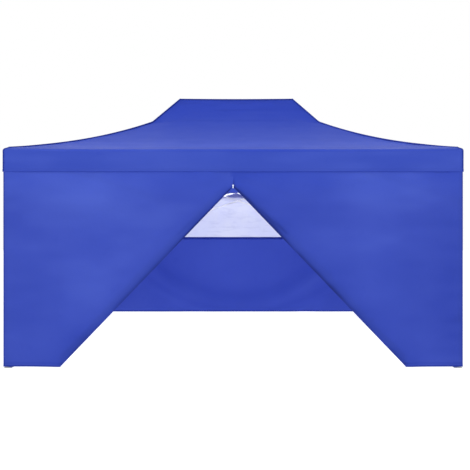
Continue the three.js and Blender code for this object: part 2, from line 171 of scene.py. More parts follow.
def run_length(points):
    """Distance down the first axis of points, from the first of them to each one."""
    steps = np.linalg.norm(np.diff(points, axis=0), axis=-1)
    return np.concatenate([np.zeros_like(steps[:1]), np.cumsum(steps, axis=0)])


def unit(vectors):
    return vectors / np.maximum(np.linalg.norm(vectors, axis=1, keepdims=True), 1e-9)


# ---- Object and mesh helpers ----

def add_object(name, data):
    thing = bpy.data.objects.new(name, data)
    bpy.context.scene.collection.objects.link(thing)
    return thing


def join_grids(name, grids):
    """A smooth quad sheet from (points, u, v) arrays of rows x columns, with UVs in metres.

    A grid may end with a fourth array, its painted shade and tone: above 0 is darker cloth, painted
    shade, below 0 is paler, painted light; some random tone is mixed in too.
    """
    corners, faces, flat, tones = [], [], [], []
    start = 0
    for points, u, v, *tone in grids:
        rows, columns = points.shape[:2]
        index = start + np.arange(rows * columns).reshape(rows, columns)
        quads = [index[:-1, :-1], index[:-1, 1:], index[1:, 1:], index[1:, :-1]]
        faces.append(np.stack(quads, axis=-1).reshape(-1, 4))
        corners.append(points.reshape(-1, 3))
        flat.append(np.stack([u.ravel(), v.ravel()], axis=1))
        tones.append(tone[0].ravel() if tone else np.zeros(rows * columns))
        start += rows * columns
    mesh = bpy.data.meshes.new(name)
    mesh.from_pydata(np.concatenate(corners).tolist(), [], np.concatenate(faces).tolist())
    layer = mesh.uv_layers.new(name="flat")
    loops = np.concatenate(faces).ravel()
    layer.data.foreach_set("uv", np.concatenate(flat)[loops].ravel().astype(np.float32))
    tone_layer = mesh.attributes.new("tone", "FLOAT", "POINT")
    tone_layer.data.foreach_set("value", np.concatenate(tones).astype(np.float32))
    mesh.shade_smooth()
    return add_object(name, mesh)


def edit_mesh(mesh, edit):
    """Runs an edit on a mesh's bmesh."""
    work = bmesh.new()
    work.from_mesh(mesh)
    edit(work)
    work.to_mesh(mesh)
    work.free()


def weld(piece):
    """Joins the grids of a sheet where their edges meet."""
    edit_mesh(piece.data, lambda work: bmesh.ops.remove_doubles(work, verts=work.verts, dist=1e-5))


def bevel_edges(piece, width, angle=30):
    """Rounds the edges where faces meet at more than that many degrees."""
    edge = piece.modifiers.new("edge", "BEVEL")
    edge.width = width
    edge.segments = 2
    edge.limit_method = "ANGLE"
    edge.angle_limit = math.radians(angle)


def dress(piece, body, material, slot, replaces=()):
    """Gives a piece its look and the body it rides on, and hides the CAD nodes that it replaces; the slot
    is not used.
    """
    piece.data.materials.clear()
    piece.data.materials.append(material)
    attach(piece, body)
    if replaces:
        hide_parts(*replaces)
    return piece


# ---- Camera ----

CAMERA_HEIGHT = 1.274
CAMERA_DISTANCE = 4.150
CAMERA_SIDE = 0.115
CAMERA_SHIFT = -0.0215
SENSOR = 36.0
LENS = 33.2

camera_data = bpy.data.cameras.new("camera")
camera_data.sensor_width = SENSOR
camera_data.lens = LENS
camera_data.shift_x = CAMERA_SHIFT
camera = add_object("camera", camera_data)
camera.location = (CAMERA_SIDE, -WALL_Y - CAMERA_DISTANCE, CAMERA_HEIGHT)
camera.rotation_euler = (math.radians(90), 0, 0)
bpy.context.scene.camera = camera


# ---- Materials ----

class Nodes:
    """Short ways to make and join shader nodes in one material."""

    def __init__(self, name):
        self.material = bpy.data.materials.new(name)
        self.material.use_nodes = True
        self.tree = self.material.node_tree
        self.shader = self.tree.nodes["Principled BSDF"]
        self.place = self.make("TexCoord").outputs["Object"]

    def feed(self, node, key, value):
        """Joins another node's output to an input, or gives the input a constant."""
        if isinstance(value, bpy.types.NodeSocket):
            self.tree.links.new(value, node.inputs[key])
        else:
            node.inputs[key].default_value = value

    def make(self, kind, **inputs):
        node = self.tree.nodes.new("ShaderNode" + kind)
        for key, value in inputs.items():
            self.feed(node, key.replace("_", " "), value)
        return node

    def set(self, **inputs):
        """Sets inputs of the material's main shader."""
        for key, value in inputs.items():
            self.feed(self.shader, key.replace("_", " "), value)

    def split(self, vector):
        return self.make("SeparateXYZ", Vector=vector).outputs

    def flat(self):
        """The UVs: along and up the flat cloth in metres."""
        return self.make("UVMap").outputs["UV"]

    def math(self, operation, a, b=0.0, c=0.0):
        node = self.make("Math")
        node.operation = operation
        for key, value in enumerate((a, b, c)):
            self.feed(node, key, value)
        return node.outputs[0]

    def times(self, a, b):
        return self.math("MULTIPLY", a, b)

    def blend(self, low, high, share):
        """A number that goes from low to high as the share goes from 0 to 1."""
        return self.math("MULTIPLY_ADD", share, high - low, low)

    def mix(self, factor, a, b):
        node = self.make("Mix")
        node.data_type = "RGBA"
        for key, value in zip((0, 6, 7), (factor, a, b)):
            self.feed(node, key, value)
        return node.outputs[2]

    def noise(self, scale, detail=2.0, roughness=0.5, over=None):
        """Noise over each point's place in its object, in metres, or over another vector."""
        node = self.make("TexNoise", Vector=over or self.place, Scale=scale, Detail=detail,
                         Roughness=roughness)
        return node.outputs["Fac"]

    def ramp(self, value, low, high):
        node = self.make("MapRange", Value=value, From_Min=low, From_Max=high)
        return node.outputs["Result"]

    def patches(self, scale, detail, low, high, roughness=0.5, over=None):
        """Soft patches: 0 where the noise is under low, 1 where it is over high."""
        return self.ramp(self.noise(scale, detail, roughness, over), low, high)

    def stretch(self, vector, scale):
        return self.make("Mapping", Vector=vector, Scale=scale).outputs["Vector"]

    def bump(self, height, strength, distance, **normal):
        node = self.make("Bump", Height=height, Strength=strength, Distance=distance, **normal)
        return node.outputs["Normal"]

    def let_light_through(self, colour, normal, share):
        """Mixes a translucent share into the surface."""
        glow = self.make("BsdfTranslucent", Color=colour, Normal=normal)
        both = self.make("MixShader", Fac=share)
        self.feed(both, 1, self.shader.outputs[0])
        self.feed(both, 2, glow.outputs[0])
        self.feed(self.tree.nodes["Material Output"], "Surface", both.outputs[0])


# Each of these pairs is the colour of the walls and valance, then of the roof. They are one cloth: the
# roof's copy is lighter, painted light for a roof lit from above.
CLOTH_BLUE = (0.037, 0.066, 0.395, 1), (0.037, 0.073, 0.455, 1)
CLOTH_LIGHT = (0.043, 0.074, 0.415, 1), (0.044, 0.082, 0.475, 1)
CLOTH_PALE = (0.060, 0.100, 0.470, 1), (0.068, 0.115, 0.560, 1)
CLOTH_DARK = (0.027, 0.052, 0.355, 1), (0.025, 0.057, 0.445, 1)
CLOTH_DEEP = (0.012, 0.024, 0.180, 1)
# Navy tape for seams, piping and bindings; its darkness also stands in for the shade along the edges it
# binds.
SEAM_BLUE = (0.014, 0.030, 0.240, 1)
THREAD_BLUE = (0.075, 0.110, 0.560, 1)

# Each of these pairs is mixed in patches.
FILM_MILK = (0.56, 0.59, 0.84, 1), (0.66, 0.685, 0.84, 1)
POWDER_GREYS = (0.71, 0.72, 0.73, 1), (0.785, 0.795, 0.805, 1)
ZINC_GREYS = (0.34, 0.35, 0.36, 1), (0.52, 0.53, 0.55, 1)
PLATE_GREYS = (0.62, 0.62, 0.60, 1), (0.80, 0.79, 0.74, 1)
NYLON_BLACKS = (0.020, 0.021, 0.023, 1), (0.045, 0.046, 0.050, 1)
NYLON_PALES = (0.50, 0.56, 0.76, 1), (0.60, 0.65, 0.82, 1)
FILM_WRINKLE_SHADE = (0.485, 0.515, 0.75, 1)
POWDER_SCUFF = (0.33, 0.33, 0.34, 1)
ZINC_DIRT = (0.20, 0.19, 0.18, 1)

WEAVE_PITCH = 0.0016
STITCH_PITCH = 0.0045
SLUB_STRETCH = (6.0, 420.0, 1.0)
WRINKLE_STRETCH = (4.0, 4.0, 19.0)
DRAWN_STRETCH = (600.0, 600.0, 9.0)
NYLON_PATCHES = (30.0, 3.0, 0.35, 0.75)
WALL_COLOUR_Z = 1.55
CLOTH_GLOW = 0.17
FILM_GLOW = 0.72


def weave_height(n, flat):
    """Over-and-under yarns of a plain weave."""
    parts = n.split(flat)
    turns = 2 * math.pi / WEAVE_PITCH
    warp, weft = [n.math("SINE", n.times(parts[axis], turns)) for axis in "XY"]
    return n.times(warp, weft)


def cloth_colour(n, flat):
    """Blue with light patches, slubs and handling marks, lighter on the roof as painted light, then
    darker or paler by the mesh's painted shade and tone.
    """
    # Above the walls the roof takes the lighter copy of each colour: painted light from above.
    roof = n.ramp(n.split(n.place)["Z"], WALL_COLOUR_Z, EAVE_Z + 0.010)
    pairs = (CLOTH_BLUE, CLOTH_LIGHT, CLOTH_PALE, CLOTH_DARK)
    blue, light, pale, dark = [n.mix(roof, *pair) for pair in pairs]
    colour = n.mix(n.patches(1.3, 3.0, 0.35, 0.68), blue, light)
    streaks = n.patches(1.0, 2.0, 0.55, 0.85, over=n.stretch(flat, SLUB_STRETCH))
    colour = n.mix(n.times(streaks, 0.25), colour, light)
    marks = n.patches(11.0, 4.0, 0.60, 0.80, 0.6)
    colour = n.mix(n.times(marks, 0.30), colour, dark)
    # The mesh's attribute holds painted shade above 0 and painted light below 0.
    attribute = n.make("Attribute")
    attribute.attribute_name = "tone"
    tone = attribute.outputs["Fac"]
    # Painted shade goes towards the dark colour, and past 1 towards the deep one; painted light goes
    # towards the pale colour below 0.
    colour = n.mix(tone, colour, dark)
    colour = n.mix(n.math("SUBTRACT", tone, 1.0), colour, CLOTH_DEEP)
    return n.mix(n.times(tone, -1.0), colour, pale)


def cloth_material(name):
    """Coated woven polyester: plain weave, faint slubs, handling marks and a soft sheen."""
    n = Nodes(name)
    flat = n.flat()
    colour = cloth_colour(n, flat)
    grain = n.math("ADD", n.times(weave_height(n, flat), 0.5), n.noise(260.0))
    soft = n.bump(n.noise(16.0, 3.0, 0.55), 0.16, 0.010)
    normal = n.bump(grain, 0.20, 0.0005, Normal=soft)
    rough = n.blend(0.46, 0.64, n.noise(5.0, 3.0))
    n.set(Base_Color=colour, Roughness=rough, Normal=normal, Specular_IOR_Level=0.08)
    n.set(Sheen_Weight=0.02, Sheen_Roughness=0.4)
    n.let_light_through(colour, normal, CLOTH_GLOW)
    return n.material


def seam_material(name, base, thread):
    """Folded double cloth along a hem or seam, with a row of stitches along U."""
    n = Nodes(name)
    parts = n.split(n.flat())
    along = n.math("SINE", n.times(parts["X"], 2 * math.pi / STITCH_PITCH))
    row = n.math("COMPARE", parts["Y"], 0.5, 0.06)
    stitch = n.times(row, n.ramp(along, -0.2, 0.3))
    wear = n.patches(9.0, 4.0, 0.4, 0.75)
    cloth = n.mix(n.times(wear, 0.15), base, CLOTH_DARK[0])
    height = n.math("MULTIPLY_ADD", stitch, 1.5, n.noise(320.0))
    n.set(Base_Color=n.mix(stitch, cloth, thread), Normal=n.bump(height, 0.35, 0.0006))
    n.set(Roughness=0.75, Specular_IOR_Level=0.08)
    return n.material


def film_material():
    """Clear vinyl that has gone slightly milky, with ripples, dusty patches and painted shade in its
    wrinkles.
    """
    n = Nodes("window_vinyl")
    haze = n.patches(2.2, 4.0, 0.3, 0.8, 0.6)
    wrinkle_shade = n.patches(1.0, 3.0, 0.50, 0.72, 0.6, n.stretch(n.place, WRINKLE_STRETCH))
    colour = n.mix(haze, *FILM_MILK)
    # Painted shade along the film's wrinkles.
    colour = n.mix(n.times(wrinkle_shade, 0.7), colour, FILM_WRINKLE_SHADE)
    ripple = n.bump(n.noise(7.0), 0.5, 0.010)
    n.set(Base_Color=colour, Roughness=n.blend(0.12, 0.27, haze), Normal=ripple)
    n.set(Specular_IOR_Level=0.5, Coat_Weight=0.4, Coat_Roughness=0.08)
    n.let_light_through(colour, ripple, FILM_GLOW)
    return n.material


def powder_finish(n):
    """Colour and orange peel of light grey powder coat."""
    colour = n.mix(n.patches(6.0, 3.0, 0.3, 0.7), *POWDER_GREYS)
    return colour, n.bump(n.noise(420.0), 0.25, 0.0004)


def powder_coat_material():
    """Powder coat, rubbed where parts slide."""
    n = Nodes("powder_coat")
    colour, peel = powder_finish(n)
    scuff = n.patches(45.0, 5.0, 0.66, 0.72, 0.7)
    n.set(Base_Color=n.mix(n.times(scuff, 0.6), colour, POWDER_SCUFF), Normal=peel)
    n.set(Roughness=n.blend(0.36, 0.61, scuff), Coat_Weight=0.25)
    return n.material


def zinc_material():
    """Galvanised steel: drawn lines along the tube and spangle."""
    n = Nodes("galvanised_steel")
    lines = n.noise(1.0, over=n.stretch(n.place, DRAWN_STRETCH))
    spangle = n.make("TexVoronoi", Vector=n.place, Scale=160.0).outputs["Distance"]
    dirt = n.patches(14.0, 4.0, 0.55, 0.8, 0.6)
    colour = n.mix(n.times(dirt, 0.5), n.mix(spangle, *ZINC_GREYS), ZINC_DIRT)
    n.set(Base_Color=colour, Metallic=0.85, Normal=n.bump(lines, 0.2, 0.0003))
    n.set(Roughness=n.blend(0.34, 0.64, dirt))
    return n.material


def grained_material(name, colours, worn, rough, grain, metallic=0.0):
    """Moulded nylon or plated steel: worn patches in two colours, and a fine grain."""
    n = Nodes(name)
    patches = n.patches(*worn)
    n.set(Base_Color=n.mix(patches, *colours), Roughness=n.blend(*rough, patches))
    n.set(Normal=n.bump(n.noise(*grain[:2]), *grain[2:]), Metallic=metallic)
    return n.material


def leg_material():
    """Powder coat on the tube, dark nylon on the bracket at its top and the collar at its bottom."""
    n = Nodes("leg_powder_and_nylon")
    height = n.split(n.place)["Z"]
    top = n.math("GREATER_THAN", height, BRACKET_Z)
    bottom = n.math("LESS_THAN", height, COLLAR_Z)
    nylon = n.math("MAXIMUM", top, bottom)
    coat, peel = powder_finish(n)
    dark = n.mix(n.patches(*NYLON_PATCHES), *NYLON_BLACKS)
    n.set(Base_Color=n.mix(nylon, coat, dark), Coat_Weight=0.1, Normal=peel)
    n.set(Roughness=n.blend(0.38, 0.50, nylon))
    return n.material


CLOTH = cloth_material("blue_polyester")
SEAM = seam_material("blue_seam", SEAM_BLUE, THREAD_BLUE)
# The hem tape is dark navy; its darkness also stands in for the shade along the valance's edge.
HEM = seam_material("blue_hem", CLOTH_DARK[0], SEAM_BLUE)
FILM = film_material()
POWDER = powder_coat_material()
ZINC = zinc_material()
NYLON_FINISH = NYLON_PATCHES, (0.42, 0.62), (900.0, 2.0, 0.35, 0.0003)
PLATE_FINISH = (40.0, 3.0, 0.3, 0.8), (0.2, 0.42), (700.0, 3.0, 0.15, 0.0002)
NYLON = grained_material("moulded_nylon", NYLON_BLACKS, *NYLON_FINISH)
PALE_NYLON = grained_material("pale_nylon", NYLON_PALES, *NYLON_FINISH)
PLATED = grained_material("zinc_plate", PLATE_GREYS, *PLATE_FINISH, metallic=1.0)
LEG_FINISH = leg_material()


# ---- Canopy shape ----

HIP_SLOPE = 0.3725
HIP_CURVE = 0.4
HIP_REACH = 0.22
FACE_EASE = 0.13
SIDE_NARROWING = 0.65
BELLY = 0.016
RIDGE_DIP = 0.005
VALANCE_DEPTH = 0.23
EAVE_RADIUS = 0.030
EAVE_START = 1.15 * EAVE_RADIUS / CANOPY_Y
VALANCE_HEM = 0.026
LONG_STEPS = 150
SHORT_STEPS = 104


def hip_rise(u):
    """Height above the eave along a hip: a curve, then straight from the mast patch to the tip."""
    patch = HIP_SLOPE * PATCH_EDGE + HIP_CURVE * PATCH_EDGE ** 2
    curved = HIP_SLOPE * u + HIP_CURVE * u * u
    straight = patch + (RIDGE_Z - EAVE_Z - patch) * (u - PATCH_EDGE) / (1 - PATCH_EDGE)
    return np.where(u < PATCH_EDGE, curved, straight)


def face_rise(u):
    """The same rise with its corner eased, for the middle of a roof face."""
    reach = np.minimum(FACE_EASE, np.minimum(u, 1 - u))
    return np.mean([hip_rise(u + reach * k) for k in np.linspace(-1, 1, 17)], axis=0)


def to_corner(along, length):
    """Distance to the nearer end of a side."""
    return np.minimum(along, 1 - along) * length


def roof_z(u, along, side_length):
    """Roof height at level u, a share along its side, on a side of that length."""
    near_hip = bump(to_corner(along, side_length) * (1 - SIDE_NARROWING * u), 0, HIP_REACH)
    rise = face_rise(u) * (1 - near_hip) + hip_rise(u) * near_hip
    eave_sag = EAVE_SAG * (1 - np.abs(2 * along - 1) ** 5) * (1 - u) ** 3
    belly = BELLY * np.sin(math.pi * along) * np.sin(math.pi * u)
    long_side = side_length > 2.5 * CANOPY_Y
    ridge_dip = RIDGE_DIP * long_side * np.sin(math.pi * along) * smooth((u - 0.75) / 0.25)
    return EAVE_Z + rise - eave_sag - belly - ridge_dip


def roof_half_x(u):
    return MAST_X + (CANOPY_X - MAST_X) * (1 - u)


def side_xy(half_x, half_y, side, along):
    """Points along a side of a rectangle of that half size; sides go anticlockwise from the front."""
    run = 2 * along - 1
    sides = ((run * half_x, -half_y), (half_x, run * half_y),
             (-run * half_x, half_y), (-half_x, -run * half_y))
    return sides[side]


OUTWARD = ((0, -1), (1, 0), (0, 1), (-1, 0))


def valance_wave(side, along, length, depth):
    """How far the valance stands out: soft waves that grow towards its free edge."""
    s = along * length + side * 7.3
    edge = to_corner(along, length)
    wave = 0.5 + 0.5 * noise(s * 2.1, depth * 1.5, SEED)
    small = crease(s * 7.0 + depth * 9.0, depth * 5.0, SEED + 1)
    dent = bump(edge, 0.16, 0.05) * bump(depth, 0.12, 0.05)
    return smooth(edge / 0.15) * (0.010 * wave * depth / VALANCE_DEPTH + 0.0012 * small + 0.004 * dent)


def valance_rows(side, along, length):
    """From the free edge, with its turned hem, up to the fold at the eave."""
    fold_z = roof_z(0.0, along, length) - EAVE_RADIUS
    hem = VALANCE_HEM / (EAVE_Z - EAVE_RADIUS - VALANCE_Z)
    shares = np.concatenate([[0, hem * 0.5, hem * 0.97, hem * 1.03], np.linspace(hem * 1.5, 1, 11)])
    for share in shares:
        z = VALANCE_Z + (fold_z - VALANCE_Z) * share
        thick = HEM_RAISE if share <= hem else 0.0
        x, y = side_xy(CANOPY_X + thick, CANOPY_Y + thick, side, along)
        out = valance_wave(side, along, length, fold_z - z)
        yield xyz(x + OUTWARD[side][0] * out, y + OUTWARD[side][1] * out, z)
    for turn in np.radians(range(10, 80, 10)):
        inset = EAVE_RADIUS * (1 - math.cos(turn))
        x, y = side_xy(CANOPY_X - inset, CANOPY_Y - inset, side, along)
        yield xyz(x, y, fold_z + EAVE_RADIUS * math.sin(turn))


def roof_rows(side, along, length):
    """From the eave up to the ridge, with pull lines off the hips and faint storage creases."""
    for u in np.concatenate([np.linspace(EAVE_START, 0.74, 46), np.linspace(0.755, 1, 20)]):
        x, y = side_xy(roof_half_x(u), CANOPY_Y * (1 - u), side, along)
        z = roof_z(u, along, length)
        edge = to_corner(along, length) * (1 - SIDE_NARROWING * u)
        fade = smooth(u * 8) * smooth((1 - u) * 8)
        near_hip = bump(edge, 0, 0.16) * smooth(edge / 0.02)
        pull = near_hip * np.sin(u * 46 + 2 * noise(side * 3.0, u * 9, SEED)) * 0.0022
        broad = 0.005 * noise(x * 1.8, y * 1.8, SEED + 2)
        small = 0.0012 * crease(x * 5.0, y * 5.0, SEED + 3)
        yield xyz(x, y, z + fade * (pull + broad + small))


def canopy_side(side):
    """One side of the canopy, with UVs in metres: the level distance, and the way up the cloth."""
    steps = (LONG_STEPS, SHORT_STEPS)[side % 2]
    length = 2 * (CANOPY_X, CANOPY_Y)[side % 2]
    along = np.linspace(0, 1, steps + 1)
    points = np.array([*valance_rows(side, along, length), *roof_rows(side, along, length)])
    across = points[:, :, side % 2] * (1, 1, -1, -1)[side]
    return points, across, run_length(points), roof_tone(points, side, along)


def roof_tone(points, side, along):
    """Painted shade where the roof is steep and double, a paler painted sheen along the eave, with a few
    storage marks.
    """
    z = points[:, :, 2]
    share = (z - EAVE_Z) / (RIDGE_Z - EAVE_Z)
    roof = smooth((share + 0.02) / 0.03)
    # Painted sheen along the eave, and painted shade that grows towards the ridge.
    eave = bump(share, 0.03, 0.13) * (0.7 + 0.3 * noise(along * 9 + side * 5, share * 20, SEED + 11))
    top = smooth((share - 0.16) / 0.75)
    streaks = 0.16 * noise(along * 7 + side * 3, share * 26, SEED + 12)
    hang = -0.02 + 0.22 * noise(along * 13 + side * 8, z * 14, SEED + 13)
    return roof * (1.05 * top - 0.75 * eave + streaks) + (1 - roof) * hang


def follow_frame(piece):
    """The canopy follows the four legs and the masts as they close up, each by its share at a point."""
    groups = {body: piece.vertex_groups.new(name=body) for body in (*LEGS, "mast_left")}
    for vertex in piece.data.vertices:
        place = piece.matrix_world @ vertex.co
        s = (place.x + LEG_AXIS_X) / (2 * LEG_AXIS_X)
        r = (place.y + LEG_AXIS_Y) / (2 * LEG_AXIS_Y)
        lift = MAST_SHARE * min(max((place.z - EAVE_Z) / (RIDGE_Z - EAVE_Z), 0), 1)
        for body, (right, back) in LEGS.items():
            share = (s if right else 1 - s) * (r if back else 1 - r)
            groups[body].add([vertex.index], min(max(share, 0), 1), "REPLACE")
        groups["mast_left"].add([vertex.index], lift, "REPLACE")
    for body in groups:
        hook = piece.modifiers.new(body, "HOOK")
        hook.object = frame["bodies"][body]
        hook.vertex_group = body
        hook.falloff_type = "NONE"
        hook.matrix_inverse = hook.object.matrix_world.inverted() @ piece.matrix_world


canopy_sides = [canopy_side(side) for side in range(4)]
canopy = join_grids("canopy_cloth", canopy_sides)
weld(canopy)
dress(canopy, "mast_hub_left", CLOTH, FABRIC_SLOT, ["canopy"])
follow_frame(canopy)


# ---- Walls ----

WALL_FACE = WALL_Y - LEG_AXIS_Y - 0.0006
WALL_PLANE_Y = LEG_AXIS_Y + WALL_FACE
ROLL_RADIUS = 0.0023
ROLL_WIDTH = math.pi * ROLL_RADIUS / 2
ROLL_REACH = 0.008
PLEAT = 0.075
PLEAT_SPACING = 0.00045
WALL_HEM = 0.030
DOOR_DROP = DOOR_APEX_Z - WALL_LOW_Z
DOOR_SLOPE = DOOR_HALF_WIDTH / DOOR_DROP
DOOR_BULGE = 0.0042
FOLD_RUN = math.hypot(DOOR_HALF_WIDTH, DOOR_DROP)
FOLD_NORMAL = (DOOR_DROP / FOLD_RUN, DOOR_HALF_WIDTH / FOLD_RUN)
FLAP_COLUMNS = 120
ROLL_COLUMNS = 12
PANEL_COLUMNS = 62

# Seeds of the left half (-1) and the right half (1) of the door wall.
DOOR_SEEDS = {-1: SEED + 20, 1: SEED + 30}

# Creases in the door wall and the shade along them, as (x, z) at both ends, on the right half.
PULL_CREASE = (0.06, 1.705), (0.75, 1.22)
PULL_SHADE = (0.05, 1.700), (0.52, 1.290)
NOTCH_CREASE = (0.030, 1.86), (0.0, 1.77)
NOTCH_SHADE = (0.020, 1.86), (0.0, 1.77)

# How strong the painted marks are on each half: painted shade along the pull and notch creases and over
# the whole half, a paler painted highlight high on its outer part, and painted shade towards its outer
# edge.
DOOR_MARKS = {-1: {"pull": 0.45, "notch": 0.0, "shade": -0.02, "rubbed": 0.85, "edge": 0.0},
              1: {"pull": 0.70, "notch": 0.80, "shade": 0.20, "rubbed": 0.50, "edge": 0.35}}


def near_line(x, z, start, end, width):
    """1 on the line from start to end, fading to 0 about a width away from it."""
    dx, dz = end[0] - start[0], end[1] - start[1]
    share = np.clip(((x - start[0]) * dx + (z - start[1]) * dz) / (dx * dx + dz * dz), 0, 1)
    gap = np.hypot(x - start[0] - share * dx, z - start[1] - share * dz)
    return bump(gap, 0, width)


def below_valance(z):
    """0 where the valance hangs over the wall, 1 further down."""
    return smooth((VALANCE_Z - 0.02 - z) / 0.12)


def wall_relief(x, z, half_width, seed):
    """Metres that hanging cloth stands out of its flat: slack, long folds and storage creases."""
    pinned = smooth((half_width - np.abs(x)) / 0.10)
    low = smooth((0.9 - z) / 0.9)
    slack = 0.0035 * noise(x * 1.3, z * 1.1, seed)
    folds = 0.0075 * low * noise(x * 2.6 + 0.3 * noise(x, z * 2, seed), z * 0.5, seed + 1)
    creases = 0.0009 * crease(x * 4.1, z * 3.3, seed + 2)
    return pinned * below_valance(z) * (slack + folds + creases)


def hem_raise(z):
    return HEM_RAISE * (z < WALL_LOW_Z + WALL_HEM)


def hem_tone(z):
    """A darker line along the top of a wall's hem, where it is sewn down."""
    return 0.55 * bump(z, WALL_LOW_Z + WALL_HEM, 0.006) - 0.12 * (z < WALL_LOW_Z + WALL_HEM)


def wall_levels():
    """Heights of the rows of a wall's mesh, with a step at the top of its hem."""
    hem_top = WALL_LOW_Z + WALL_HEM
    low = [WALL_LOW_Z, WALL_LOW_Z + WALL_HEM * 0.5, hem_top - 0.0006, hem_top + 0.0006]
    return np.concatenate([low, np.linspace(hem_top + 0.02, WALL_TOP_Z, 92)])


def pleat(distance, run):
    """How far in from the fold a point of the pleated door flap lies, and how many layers deep."""
    whole = np.floor(distance / PLEAT)
    share = distance / PLEAT - whole
    far_fold = whole // 2
    reach = PLEAT * (1 - 0.01 * far_fold) + 0.008 * noise(run * 2.5, far_fold * 3.7, SEED + 9)
    position = np.where(whole % 2 == 0, share, 1 - share) * reach
    return position, whole + smooth((share - 0.85) / 0.15)


def fold_flap(x, z):
    """Where a point of the flat half panel goes when the door flap is pleated back behind its fold."""
    t = x * FOLD_NORMAL[0] + (z - DOOR_APEX_Z) * FOLD_NORMAL[1]
    run = x * FOLD_NORMAL[1] - (z - DOOR_APEX_Z) * FOLD_NORMAL[0]
    angle = np.clip((ROLL_WIDTH - t) / ROLL_RADIUS, 0, math.pi)
    position, layer = pleat(np.maximum(-t - ROLL_WIDTH, 0), run)
    shift = ROLL_WIDTH * np.exp(-np.maximum(t - ROLL_WIDTH, 0) / 0.25)
    placed = np.where(t > ROLL_WIDTH, t - shift, -ROLL_RADIUS * np.sin(angle))
    placed = np.where(t < -ROLL_WIDTH, position, placed)
    depth = ROLL_RADIUS * (1 - np.cos(angle)) + PLEAT_SPACING * layer * (t < -ROLL_WIDTH)
    new_x = x + (placed - t) * FOLD_NORMAL[0]
    new_z = z + (placed - t) * FOLD_NORMAL[1]
    return new_x, new_z, t, placed, run, depth


def door_relief(x, z, placed, run, seed):
    """Metres that the door wall stands out of its flat, the same for a panel and the flap behind it."""
    slack = wall_relief(x, z, WALL_X, seed) * smooth(placed / 0.10)
    tug = bump(placed, 0, 0.10) * 0.0016 * np.sin(run * 38 + 3 * noise(run * 5, placed * 8, seed))
    pull = -0.0030 * near_line(x, z, *PULL_CREASE, 0.030)
    notch = -0.0030 * near_line(x, z, *NOTCH_CREASE, 0.014)
    bulge = DOOR_BULGE * bump(placed, 0, 0.13)
    return below_valance(z) * (bulge + slack + tug + pull + notch)


def door_tone(x, z, t, placed, hand, seed):
    """Painted shade: a dark line down the fold with shade beside it and along creases from the apex; a
    paler painted highlight high up; random tone.
    """
    marks = DOOR_MARKS[hand]
    below = 0.35 + 0.65 * smooth((DOOR_APEX_Z - 0.05 - z) / 0.30)
    line = 0.25 + 1.05 * smooth((z - 1.10) / 0.25)
    fading = 1 - 0.6 * smooth((0.75 - z) / 0.45)
    # Painted shade: a dark line down the fold edge and shade beside it.
    tone = line * bump(t, 0.0020, 0.0095) + 1.05 * below * fading * bump(placed, 0.008, 0.025)
    # Painted shade along the creases from the apex.
    tone += marks["pull"] * near_line(x, z, *PULL_SHADE, 0.016)
    tone += marks["notch"] * near_line(x, z, *NOTCH_SHADE, 0.010)
    # Painted shade beside the fold and over the whole half.
    tone += 0.50 * below * bump(placed, 0.02, 0.15) + marks["shade"]
    # Painted highlight: paler high on the outer part of each half.
    tone -= marks["rubbed"] * bump(x, 1.5, 0.60) * bump(z, 1.62, 0.30)
    # Painted shade towards the outer edge.
    tone += marks["edge"] * smooth((x - 1.8) / 0.35)
    tone += 0.35 * noise(x * 1.5 + hand * 4, z * 4.2, seed + 7)
    tone += 0.18 * noise(x * 4.7, z * 13, seed + 8)
    # Darker towards the bottom, and the hem line.
    return tone + 0.25 * smooth((0.9 - z) / 0.8) + hem_tone(z)


def front_half(hand, seed):
    """Half of the door wall, folded back along its sloping edge; hand is 1 on the right."""
    flap = np.linspace(0, 1, FLAP_COLUMNS)
    roll = np.linspace(-ROLL_REACH * 0.9, ROLL_REACH, ROLL_COLUMNS)
    panel = np.linspace(0.012, 1, PANEL_COLUMNS)
    rows, flat = [], []
    for level in wall_levels():
        fold_x = max((DOOR_APEX_Z - level) * DOOR_SLOPE, 0.0)
        below = fold_x > 0
        start = fold_x + ROLL_REACH
        x = np.concatenate([flap * fold_x - ROLL_REACH * below, fold_x + roll * below,
                            start + (WALL_X - start) * panel])
        x = np.maximum(x, 0)
        z = np.full_like(x, level)
        new_x, new_z, t, placed, run, depth = fold_flap(x, z)
        if not below:
            new_x, new_z, depth = x, z, depth * 0
        new_x = np.maximum(new_x, 0)
        out = WALL_PLANE_Y + door_relief(new_x, new_z, placed, run, seed) - depth
        out += hem_raise(z) * (t > ROLL_WIDTH)
        rows.append(xyz(new_x * hand, -out, new_z))
        flat.append(xyz(x * hand, z, door_tone(new_x, new_z, t, placed, hand, seed)))
    flat = np.array(flat)[:, ::hand]
    return np.array(rows)[:, ::hand], flat[:, :, 0], flat[:, :, 1], flat[:, :, 2]


door_halves = {hand: front_half(hand, seed) for hand, seed in DOOR_SEEDS.items()}
front = join_grids("front_wall_cloth", door_halves.values())
weld(front)
dress(front, "leg_outer_front_left", CLOTH, FABRIC_SLOT, ["front_wall"])
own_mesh(front)


def back_relief(x, z):
    """The back wall hangs slack between its legs: two swags under the window, as well as its folds."""
    swag = z - (0.25 + 0.38 * (x + 0.05) ** 2)
    low_swag = z - (-0.06 + 0.20 * (x - 0.2) ** 2)
    sag = -0.009 * bump(swag, 0, 0.09) + 0.006 * bump(swag, -0.16, 0.08)
    sag += -0.007 * bump(low_swag, 0, 0.05) + 0.005 * bump(low_swag, -0.10, 0.06)
    inside = smooth((WALL_X - 0.15 - np.abs(x)) / 0.5)
    return wall_relief(x, z, WALL_X, SEED + 40) + sag * inside * smooth((1.15 - z) / 0.2)


